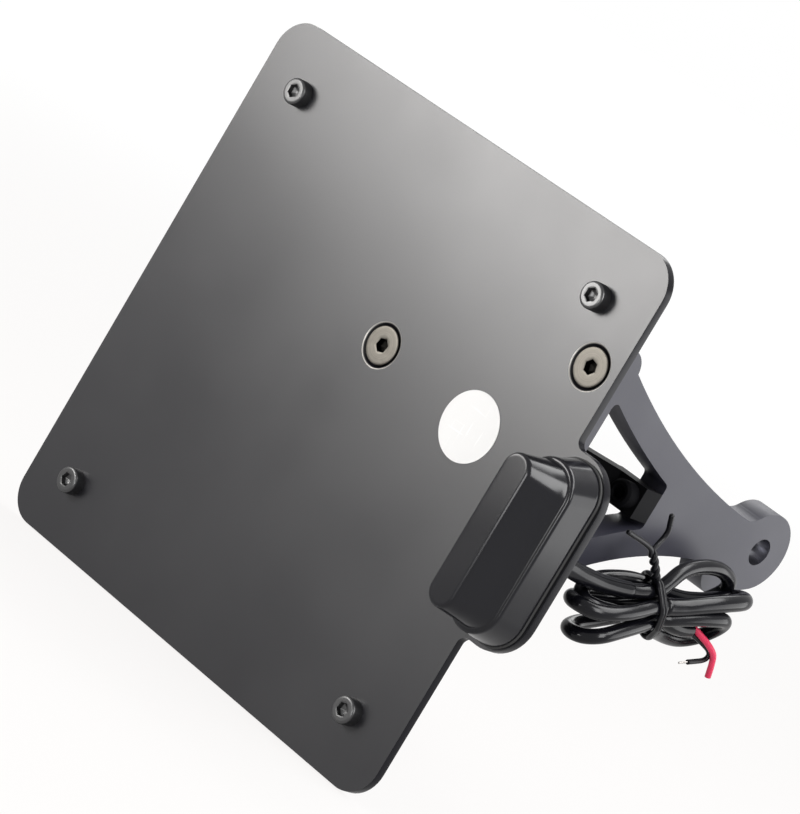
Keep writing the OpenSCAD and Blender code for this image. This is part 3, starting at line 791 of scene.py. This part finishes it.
class PLATEHOLDER_OT_stage(bpy.types.Operator):
    """Makes the camera, the pale floor, the white surround and the soft lamps"""

    bl_idname = "plate_holder.stage"
    bl_label = "Stage"

    # Name, place, aim, size and the setting that holds the power
    LAMPS = (
        ("Side lamp", (0.33, 0.41, 0.02), (0.0, -0.04, -0.04), (0.38, 0.42), "side_power"),
        ("Right lamp", (0.66, -0.09, 0.44), (0.02, -0.13, 0.0), (0.30, 0.60), "right_power"),
        ("Top lamp", (0.33, 0.23, 0.692), (0.33, -0.15, 0.0), (0.95, 0.26), "top_power"),
        ("Front lamp", (0.18, -0.90, -0.045), (0.02, -0.12, -0.02), (0.42, 0.18), "front_power"),
        ("Rear lamp", (-0.456, 0.364, 0.464), (0.0, -0.10, 0.0), (0.40, 0.40), "rear_power"),
    )

    def execute(self, context):
        scene, values = context.scene, context.scene.holder_stage
        camera_data = bpy.data.cameras.new("Camera")
        camera_data.lens = values.lens
        camera_data.sensor_width = 36.0
        camera_data.clip_end = 50.0
        camera = add_object("Camera", camera_data)
        right = Vector((0.6215, 0.5969, 0.5075))
        forward = Vector((-0.6313, 0.7651, -0.1267)).normalized()
        right = (right - forward * right.dot(forward)).normalized()
        up = right.cross(forward)
        turn = Matrix((right, up, -forward)).transposed().to_4x4()
        camera.matrix_world = Matrix.Translation(Vector(values.camera_place)) @ turn
        scene.camera = camera

        scene.view_settings.view_transform = "Standard"
        self.surround(scene)
        self.floor(scene, CAD_BOX[0][2] - values.floor_gap)
        self.soft_box("Key lamp", (-0.36, -0.51, 0.067), (-0.08, -0.11, 0.01), (0.36, 0.16),
                      values.key_power, roll=-19, colour=(1.0, 0.982, 0.965))
        for name, place, aim, size, power in self.LAMPS:
            self.soft_box(name, place, aim, size, getattr(values, power))
        return {"FINISHED"}

    def seen_rays(self, tree, place):
        """1 for the rays that show the background, 0 for those that light the part"""
        path = new_node(tree, "ShaderNodeLightPath", place).outputs
        first = math_node(tree, "MAXIMUM", (0, 0), path["Is Camera Ray"], path["Is Glossy Ray"])
        return math_node(tree, "MAXIMUM", (0, 0), first, path["Is Transmission Ray"])

    def shown_level(self, tree, place, scene):
        """The background's level: full for the camera, a little less in reflections"""
        path = new_node(tree, "ShaderNodeLightPath", place)
        lost = 1.0 - scene.holder_stage.mirrored_white
        loss = math_node(tree, "MULTIPLY", (0, 0), path.outputs["Is Glossy Ray"], lost)
        return math_node(tree, "SUBTRACT", (0, 0), 1.0, loss)

    def surround(self, scene):
        world = bpy.data.worlds.new("Surround")
        world.use_nodes = True
        tree = world.node_tree
        ambient = tree.nodes["Background"]
        feed(tree, ambient, {"Color": (1.0, 1.0, 1.0, 1.0), "Strength": 0.20})
        white = new_node(tree, "ShaderNodeBackground", (0, -200), {
            "Color": (1.0, 1.0, 1.0, 1.0), "Strength": self.shown_level(tree, (-600, -200), scene)})
        both = new_node(tree, "ShaderNodeMixShader", (250, 0), {
            0: self.seen_rays(tree, (-300, 200)), 1: ambient.outputs[0], 2: white.outputs[0]})
        feed(tree, tree.nodes["World Output"], {"Surface": both.outputs[0]})
        scene.world = world

    def floor(self, scene, height):
        mesh = bpy.data.meshes.new("Floor")
        corners = [(x, y, height) for x, y in ((-8, -8), (8, -8), (8, 8), (-8, 8))]
        mesh.from_pydata(corners, [], [(0, 1, 2, 3)])
        material = bpy.data.materials.new("Pale floor")
        material.use_nodes = True
        tree = material.node_tree
        tree.nodes.clear()
        plain = new_node(tree, "ShaderNodeBsdfDiffuse", (0, 200), {"Color": (0.80, 0.79, 0.79, 1.0)})
        thin = new_node(tree, "ShaderNodeBsdfDiffuse", (0, 0), {"Color": (0.075, 0.078, 0.078, 1.0)})
        # The glow is painted darker near the holder and reaches full white 1.6 m out: a painted shade on
        # the floor round the holder
        far = new_node(tree, "ShaderNodeVectorMath", (-500, -200),
                       {0: object_coordinates(tree, (-700, -200))}, operation="LENGTH")
        painted_falloff = map_range(tree, far.outputs["Value"], 0.25, 1.6, (-300, -200),
                         interpolation_type="SMOOTHSTEP")
        glow = new_node(tree, "ShaderNodeEmission", (0, -200), {
            "Color": tint(tree, painted_falloff, (0.890, 0.875, 0.868), (1.0, 1.0, 1.0), (-100, -200)),
            "Strength": self.shown_level(tree, (-600, -500), scene)})
        shown = new_node(tree, "ShaderNodeAddShader", (200, -100), {0: thin.outputs[0], 1: glow.outputs[0]})
        both = new_node(tree, "ShaderNodeMixShader", (400, 0), {
            0: self.seen_rays(tree, (-300, 300)), 1: plain.outputs[0], 2: shown.outputs[0]})
        new_node(tree, "ShaderNodeOutputMaterial", (600, 0), {"Surface": both.outputs[0]})
        mesh.materials.append(material)
        add_object("Floor", mesh)

    def soft_box(self, name, place, aim, size, power, roll=0, colour=(1.0, 1.0, 1.0)):
        data = bpy.data.lights.new(name, "AREA")
        data.color = colour
        data.shape = "RECTANGLE"
        data.size, data.size_y = size
        data.energy = power
        way = Vector(aim) - Vector(place)
        turn = way.to_track_quat("-Z", "Y").to_matrix().to_4x4() @ Matrix.Rotation(radians(roll), 4, "Z")
        add_object(name, data).matrix_world = Matrix.Translation(Vector(place)) @ turn


class PLATEHOLDER_OT_cable(bpy.types.Operator):
    """Makes the lamp's cable: the stretch from the gland and the tied bundle"""

    bl_idname = "plate_holder.cable"
    bl_label = "Cable"

    def execute(self, context):
        values, colours = context.scene.holder_cable, context.scene.holder_colours
        path = smooth_path(metres(CABLE_LEAD) + [bundle_point(*p) for p in CABLE_TURNS])
        jacket = jacketed("Cable jacket", colours.jacket, 0.14, 0.22)
        cable = tube_piece("cable", [(path, values.cable_diameter / 2, {"sides": 24})], jacket)
        declare(cable, "cable_jacket", "cable_lead", "cable_hank")
        sleeves = [
            self.sleeve("cable_sleeve_at_gland", path[GLAND_SLEEVE], 0.0031, 0.0026, jacket),
            self.sleeve("cable_sleeve_in_bundle", path[BUNDLE_SLEEVE], 0.00272, 0.00272, jacket),
        ]
        self.wires(values, colours) + sleeves
        return {"FINISHED"}

    def sleeve(self, name, path, start, end, material):
        """A shrunk sleeve along a stretch of the cable, with soft ends"""
        soft_reach, drop = 0.0006, 0.00035
        reach = sum((b - a).length for a, b in zip(path, path[1:]))
        radii, gone, last = [], 0.0, path[0]
        for p in path:
            gone += (p - last).length
            last = p
            edge = min(gone, reach - gone)
            soft = sqrt(max(0.0, 1 - (1 - min(1.0, edge / soft_reach)) ** 2))
            radii.append(start + (end - start) * gone / reach - drop * (1 - soft))
        piece = tube_piece(name, [(path, radii, {"sides": 24})], material)
        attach(piece, BODY)
        return piece

    def wires(self, values, colours):
        red = tube_piece("red_wire_end", [(smooth_path(metres(RED_WIRE)), values.red_diameter / 2, {})],
                         jacketed("Red insulation", colours.red, 0.34, 0.44))
        declare(red, "red_insulation", "red_wire")
        black = tube_piece(
            "black_wire_end", [(smooth_path(metres(BLACK_WIRE)), values.black_diameter / 2, {})],
            jacketed("Black insulation", scaled(colours.jacket, 1.2), 0.34, 0.44))
        declare(black, "cable_jacket", "black_wire")
        radius = values.tip_diameter / 2
        middle = smooth_path(metres(BLACK_WIRE_TIP), 12)
        strands = [(wound(middle, radius * 0.62, k * pi / 3, 0.3), radius * 0.36) for k in range(6)]
        strands.append((middle, radius * 0.4))
        tinned = moulded("Tinned copper", (0.5, 0.48, 0.46), 0.3, 0.42, metallic=1.0)
        tip = tube_piece(
            "black_wire_strands", [(*strand, {"sides": 8, "round_end": True}) for strand in strands],
            tinned)
        return [red, black, declare(tip, "tinned_end", "black_wire_tip")]


class PLATEHOLDER_OT_tie(bpy.types.Operator):
    """Makes the coated wire round the bundle, with its twist and two ends"""

    bl_idname = "plate_holder.tie"
    bl_label = "Bundle tie"

    def ring(self, values, shift, corners=72):
        """A loop that lies on the outermost turns where the tie crosses them"""
        hits = []
        path = smooth_path([Vector(p) for p in CABLE_TURNS])
        for a, b in zip(path, path[1:]):
            fa, fb = self.beside(a), self.beside(b)
            if fa * fb <= 0 and fa != fb:
                p = a + (b - a) * (fa / (fa - fb))
                hits.append((p.y, p.z))
        # Half of both diameters in millimetres, and a little air
        reach = values.cable_diameter * 500 + values.tie_diameter * 500 + 0.05
        middle = (sum(h[0] for h in hits) / len(hits), sum(h[1] for h in hits) / len(hits))
        loop = []
        for k in range(corners):
            way = (cos(2 * pi * k / corners), sin(2 * pi * k / corners))
            far = max((h[0] - middle[0]) * way[0] + (h[1] - middle[1]) * way[1] for h in hits)
            loop.append((way, far + reach))
        points = []
        for k in range(corners):
            (w0, f0), (w1, f1) = loop[k], loop[(k + 1) % corners]
            turn = w0[0] * w1[1] - w0[1] * w1[0]
            above = middle[0] + (f0 * w1[1] - f1 * w0[1]) / turn
            out = middle[1] + (w0[0] * f1 - w1[0] * f0) / turn
            along = self.plane(above, out) + shift * sin(2 * pi * k / corners + 0.6)
            points.append(bundle_point(along, above, out))
        return points

    def plane(self, above, out):
        """How far along the bundle the tie crosses it"""
        return -2.6 - 0.36 * above - 0.28 * out

    def beside(self, p):
        return p.x - self.plane(p.y, p.z)

    def execute(self, context):
        values, colours = context.scene.holder_cable, context.scene.holder_colours
        r = values.tie_diameter / 2
        tubes = [(self.ring(values, shift), r, {"sides": 12, "closed": True}) for shift in (-0.7, 0.7)]
        twist = smooth_path(metres(TIE_TWIST), 16)
        step = 2 * pi * values.tie_turns / (len(twist) - 1)
        for phase, end in ((0, TIE_LEFT_END), (pi, TIE_RIGHT_END)):
            strand = wound(twist, r * 0.74, phase, step)
            leg = smooth_path([strand[-1]] + metres(end))
            tubes.append((strand + leg[1:], r, {"sides": 12, "round_end": True}))
        coat = jacketed("Tie coating", colours.jacket, 0.24, 0.34)
        declare(tube_piece("coated_tie", tubes, coat), "tie_coating", "bundle_tie")
        return {"FINISHED"}


class PLATEHOLDER_OT_metalwork(bpy.types.Operator):
    """Dresses the panel, the arm and the brace"""

    bl_idname = "plate_holder.metalwork"
    bl_label = "Panel, arm and brace"

    def execute(self, context):
        edges, colours = context.scene.holder_edges, context.scene.holder_colours
        panel = dress("number_plate_panel", "panel", edges.panel_edge,
                      coated("Panel coating", colours.panel, 0.30, 0.35, 1.60, dust=0.25),
                      "panel_coating", segments=4)
        axes = self.open_countersinks(panel)
        # The side edges get a less reflective copy of the coating: painted shade
        self.shade_side_edges(panel, axes, coated("Edge coating", colours.panel, 0.22, 0.3, 1.24, dust=0.2))
        arm = dress("side_arm", "arm", edges.arm_edge,
                    coated("Arm coating", colours.arm, 0.46, 0.54, 1.64, dust=0.3),
                    "arm_coating", added=self.neck_fillet(0.0075))
        self.bare_bore(arm)
        # The brace's coating is darker and far less reflective than the arm's: painted shade for the brace
        # in the cut-out's shadow
        dress("brace_strut", "brace", edges.arm_edge,
              coated("Brace coating", colours.brace, 0.5, 0.6, 1.16, dust=0.3), "brace_coating")
        return {"FINISHED"}

    def open_countersinks(self, panel):
        """Widens the countersinks at the bright screws, with a chamfer round each mouth in light bare
        metal, a painted highlight for the mouth's rim
        """
        profile = [(0.0077, -0.001), (0.0074, 0.0), (0.0072, 0.00007), (0.0070, 0.0002), (0.0069, 0.0004),
                   (0.0058, 0.0015)]
        corners = [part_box(node)[0] for node in BRIGHT_SCREWS]
        axes = [Vector((x + SUNK_HEAD_RADIUS, PANEL_FRONT, z + SUNK_HEAD_RADIUS)) for x, _, z in corners]
        for axis in axes:
            cutter = revolved_solid("countersink", profile, axis)
            panel.data = combined(panel.data, cutter, "DIFFERENCE", "panel")
        # The chamfer's lighter metal is a painted highlight round each mouth
        panel.data.materials.append(
            moulded("Bare chamfer", (0.34, 0.33, 0.31), 0.38, 0.48, scale=900.0, metallic=1.0))
        inner, outer, depth = 0.00698, 0.00742, 0.0003
        for face in panel.data.polygons:
            reach = min((face.center - axis).xz.length for axis in axes)
            sloped = abs(face.normal.y) < 0.99 and face.center.y < PANEL_FRONT + depth
            if sloped and inner < reach < outer:
                face.material_index = 1
        return axes

    def shade_side_edges(self, panel, axes, material):
        """The panel's side edges take a copy of its coating that reflects less: painted shade that keeps
        the lamps' reflection off them
        """
        mesh, clear = panel.data, 0.008
        mesh.materials.append(material)
        for face in mesh.polygons:
            away = min((face.center - axis).xz.length for axis in axes)
            if away > clear and abs(face.normal.y) < 0.85:
                face.material_index = len(mesh.materials) - 1

    def bare_bore(self, arm):
        """The eye's bore is machined after coating"""
        arm.data.materials.append(
            moulded("Machined bore", (0.30, 0.30, 0.33), 0.24, 0.32, scale=900.0, metallic=1.0))
        for face in arm.data.polygons:
            if face.center.yz.length < EYE_BORE_RADIUS + 0.0002 and abs(face.normal.x) < 0.5:
                face.material_index = 1

    def neck_fillet(self, radius, steps=12):
        """A fill with a hollow top where the arm's upper edge runs into the round eye"""
        start, way = Vector((-0.01077, 0.00728)), Vector((0.9891, -0.1474))
        upward = Vector((-way.y, way.x))
        base = start + upward * radius
        # The hollow's centre is one radius above the edge and one radius outside the eye
        apart = EYE_RADIUS + radius
        half = base.dot(way)
        centre = base + way * (-half - sqrt(half * half - base.dot(base) + apart ** 2))
        first, last = (p - centre for p in (centre - upward * radius, centre * EYE_RADIUS / apart))
        spread = first.angle_signed(last)
        arc = [centre + Matrix.Rotation(-spread * k / steps, 2) @ first for k in range(steps + 1)]
        inside = Vector((-0.0095, 0.0055))
        bm = bmesh.new()
        sides = [[bm.verts.new((x, p.x, p.y)) for p in [*arc, inside]]
                 for x in (-ARM_HALF_THICKNESS, ARM_HALF_THICKNESS)]
        bm.faces.new(sides[0])
        bm.faces.new(reversed(sides[1]))
        bridge(bm, sides)
        bmesh.ops.recalc_face_normals(bm, faces=bm.faces)
        return mesh_of(bm, "neck_fillet")


class PLATEHOLDER_OT_fasteners(bpy.types.Operator):
    """Puts every screw, washer and nut in its place"""

    bl_idname = "plate_holder.fasteners"
    bl_label = "Screws, washers and nuts"

    def execute(self, context):
        edges, colours = context.scene.holder_edges, context.scene.holder_colours
        # The last value is the reach of the painted shade inside the bright screws' sockets
        bright = turned_metal("Bare steel", colours.steel, 0.40, 0.50, 0.00003, 0.6, 0.0026)
        zinc = turned_metal("Zinc plate", colours.zinc, 0.36, 0.46)
        black = moulded("Blackened steel", colours.blackened, 0.30, 0.42, 1.78, scale=700.0)
        # A darker, almost unreflective copy of the blackened steel for the pad screw: painted shade, so it
        # sinks into the brace's shadow
        shaded_black = moulded("Black oxide", scaled(colours.blackened, 0.7), 0.6, 0.7, 1.08, scale=700.0)
        width = edges.screw_edge
        # From the socket's mouth over the face and the cone to the shaft's end
        profile = [(0.0030, 0.0), (0.0053, 0.0), (0.0058, 0.00001), (0.0060, 0.00008), (0.0061, 0.00026),
                   (0.00603, 0.0005), (0.0031, 0.0031), (0.0030, 0.0034), (0.0030, 0.0112),
                   (0.0024, 0.0118)]
        screw = revolved_screw("bright_screw_one", profile, 0.004, 0.0024)
        to_axis = Vector((SUNK_HEAD_RADIUS, 0.0001, SUNK_HEAD_RADIUS))
        places = [Vector(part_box(node)[0]) + to_axis for node in BRIGHT_SCREWS]
        place_copies("bright_screws", screw, places, bright, "bright_screw", BRIGHT_SCREWS, 1.0, 2)
        copied_fastener("pad_screw", ["brace_pad_screw"], width, shaded_black, "black_screw")
        screws, washers, nuts = ([f"plate_{kind}_{k}" for k in (1, 2, 3, 4)]
                                 for kind in ("screw", "washer", "nut"))
        low, high = (Vector(p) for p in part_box(screws[0]))
        head, end = (high.x - low.x) / 2, high.y - low.y
        rim = [(head - inset, y) for inset, y in (
            (0.0010, 0.0), (0.0009, 0.0), (0.0006, 0.00005), (0.0003, 0.0002), (0.0001, 0.00045),
            (0.0, 0.0008), (0.0, SCREW_HEAD_HEIGHT))]
        profile = [(0.0026, 0.0), *rim, (0.0025, SCREW_HEAD_HEIGHT), (0.0025, end - 0.0006), (0.0019, end)]
        screw = revolved_screw("plate_screw_one", profile, 0.0038, 0.0018)
        places = [node_middle(node) - Vector((0, end / 2, 0)) for node in screws]
        place_copies("plate_screws", screw, places, black, "black_screw", screws, 1.0, 5)
        copied_fastener("plate_washers", washers, width, zinc, "zinc_fastener")
        copied_fastener("plate_nuts", nuts, width, zinc, "zinc_fastener", 1.0, 8)
        for kind, most_turn in (("screw", 1.0), ("washer", 0.0)):
            copied_fastener(f"lamp_{kind}s", [f"lamp_{kind}_upper", f"lamp_{kind}_lower"], width, zinc,
                            "zinc_fastener", most_turn)
        return {"FINISHED"}


class PLATEHOLDER_OT_lamp(bpy.types.Operator):
    """Dresses the lamp, its gasket, lens and light board, and the cable gland"""

    bl_idname = "plate_holder.lamp"
    bl_label = "Lamp"

    def execute(self, context):
        edges, colours = context.scene.holder_edges, context.scene.holder_colours
        shell = moulded("Lamp plastic", colours.lamp, 0.16, 0.24, 1.40, scale=260.0, depth=0.00002)
        rubber = moulded("Soft rubber", (0.02, 0.02, 0.02), 0.55, 0.7, 1.45, scale=1400.0)
        self.shell(edges, shell)
        dress("lamp_gasket", "lamp_seal", 0.0003, rubber, "soft_rubber")
        dress("cable_gland", "gland", 0.0003, rubber, "soft_rubber")
        dress("led_board", "light_board", 0.0001,
              moulded("Board laminate", (0.05, 0.22, 0.10), 0.4, 0.5), "board_green")
        dress("led_chips", "light_chips", 0.0001,
              moulded("Chip face", (0.80, 0.72, 0.35), 0.3, 0.4), "led_face")
        lens = moulded("Clear lens", (0.92, 0.94, 0.95), 0.03, 0.08, 1.49, scale=300.0, strength=0.05)
        lens.node_tree.nodes["Principled BSDF"].inputs["Transmission Weight"].default_value = 1.0
        dress("lamp_lens", "lamp_window", 0.0002, lens, "clear_lens")
        return {"FINISHED"}

    def shell(self, edges, material):
        """The lamp's housing: two drafted tiers with a ledge, a rounded front rim and a hollow inside"""
        low, high = (Vector(p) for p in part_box("lamp_housing"))
        middle, rim, wall = (low.z + high.z) / 2, edges.lamp_edge, 0.002
        # Heights of the ledge and the face over the panel
        ledge, face = 0.013, 0.025

        def blend(a, b, t):
            return tuple(x + (y - x) * t for x, y in zip(a, b))

        def shrunk(layer, by, height=None):
            h, left, right, length, radius = layer
            return (h if height is None else height, left + by, right - by, length - 2 * by, radius - by)

        def slope(h):
            return (h, *blend(step, top, (h - ledge) / (face - ledge))[1:])

        foot = (0.001, low.x, high.x, high.z - low.z, 0.0105)
        shoulder = (ledge, low.x + 0.00169, high.x - 0.0003, foot[3] - 0.0038, 0.0098)
        step = (ledge, shoulder[1], shoulder[2] - 0.0015, shoulder[3] - 0.003, 0.0083)
        top = (face, low.x + 0.00325, low.x + 0.01305, 0.0496, 0.0049)
        layers = [shrunk(foot, by, h) for by, h in ((0.0004, 0.001), (0.0001, 0.0011), (0.0, 0.0013))]
        layers += [blend(foot, shoulder, t) for t in (0.1, 0.5, 0.9, 0.955)]
        layers += [shrunk(shoulder, by, h)
                   for by, h in ((0.00012, 0.01275), (0.0004, 0.01296), (0.0007, ledge))]
        layers += [shrunk(step, by, h)
                   for by, h in ((-0.0003, 0.01302), (-0.00008, 0.01318), (0.00004, 0.0135))]
        layers += [slope(h) for h in (0.0145, 0.018, 0.0215, 0.0238, face - rim)]
        layers += [shrunk(slope(face - rim * d), rim * (1 - sqrt(1 - (1 - d) ** 2)))
                   for d in (0.75, 0.5, 0.3, 0.15, 0.05)]
        layers += [shrunk(slope(face), rim * part) for part in (1.0, 1.5)]
        inner = [shrunk(foot, wall, -0.002), shrunk(shoulder, wall), shrunk(step, wall, 0.0131),
                 shrunk(top, wall, 0.023)]

        # The lens stands in an opening through the drafted side
        lens_low, lens_high = (Vector(p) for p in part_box("lamp_lens"))
        size = (0.02, lens_high.y - lens_low.y - 0.0006, lens_high.z - lens_low.z + 0.0004)
        place = node_middle("lamp_lens") - Vector((0.0078, 0, 0))
        turn = Matrix.Rotation(radians(7.4), 4, "Z") @ Matrix.Diagonal((*size, 1))
        bm = bmesh.new()
        bmesh.ops.create_cube(bm, size=1.0)
        bmesh.ops.transform(bm, matrix=Matrix.Translation(place) @ turn, verts=bm.verts)
        mesh = lofted("lamp_shell", layers, middle)
        for cutter in (lofted("hollow", inner, middle), mesh_of(bm, "opening")):
            mesh = combined(mesh, cutter, "DIFFERENCE", "lamp_shell")
        declare(finish_piece("lamp_shell", mesh, material), "lamp_plastic", "lamp_housing")


class PLATEHOLDER_OT_label(bpy.types.Operator):
    """Makes the plain round label"""

    bl_idname = "plate_holder.label"
    bl_label = "Round label"

    def execute(self, context):
        colours = context.scene.holder_colours
        paper = moulded("Label film", colours.label, 0.55, 0.65, 1.35, scale=600.0)
        dress("round_label", "label", 0.00006, paper, "white_label")
        return {"FINISHED"}


class PLATEHOLDER_PT_panel(bpy.types.Panel):
    """Lists the settings and the makers of every piece"""

    bl_idname = "PLATEHOLDER_PT_panel"
    bl_label = "Plate holder"
    bl_space_type = "VIEW_3D"
    bl_region_type = "UI"
    bl_category = "Plate Holder"

    def draw(self, context):
        layout, scene = self.layout, context.scene
        for title, group in (("Stage", scene.holder_stage), ("Cable", scene.holder_cable),
                             ("Edges", scene.holder_edges), ("Colours", scene.holder_colours)):
            box = layout.box()
            box.label(text=title)
            for key in group.bl_rna.properties.keys():
                if key not in ("rna_type", "name"):
                    box.prop(group, key)
        for operator in OPERATORS:
            layout.operator(operator.bl_idname)


SETTINGS = {
    "holder_stage": StageSettings,
    "holder_cable": CableSettings,
    "holder_edges": EdgeSettings,
    "holder_colours": ColourSettings,
}
OPERATORS = (
    PLATEHOLDER_OT_stage,
    PLATEHOLDER_OT_cable,
    PLATEHOLDER_OT_tie,
    PLATEHOLDER_OT_metalwork,
    PLATEHOLDER_OT_fasteners,
    PLATEHOLDER_OT_lamp,
    PLATEHOLDER_OT_label,
)


def register():
    for name, group in SETTINGS.items():
        bpy.utils.register_class(group)
        setattr(bpy.types.Scene, name, PointerProperty(type=group))
    for operator in OPERATORS:
        bpy.utils.register_class(operator)
    bpy.utils.register_class(PLATEHOLDER_PT_panel)


def unregister():
    bpy.utils.unregister_class(PLATEHOLDER_PT_panel)
    for operator in reversed(OPERATORS):
        bpy.utils.unregister_class(operator)
    for name, group in reversed(SETTINGS.items()):
        delattr(bpy.types.Scene, name)
        bpy.utils.unregister_class(group)


def main():
    register()
    bpy.ops.plate_holder.stage()
    bpy.ops.plate_holder.cable()
    bpy.ops.plate_holder.tie()
    bpy.ops.plate_holder.metalwork()
    bpy.ops.plate_holder.fasteners()
    bpy.ops.plate_holder.lamp()
    bpy.ops.plate_holder.label()


if __name__ == "__main__":
    main()
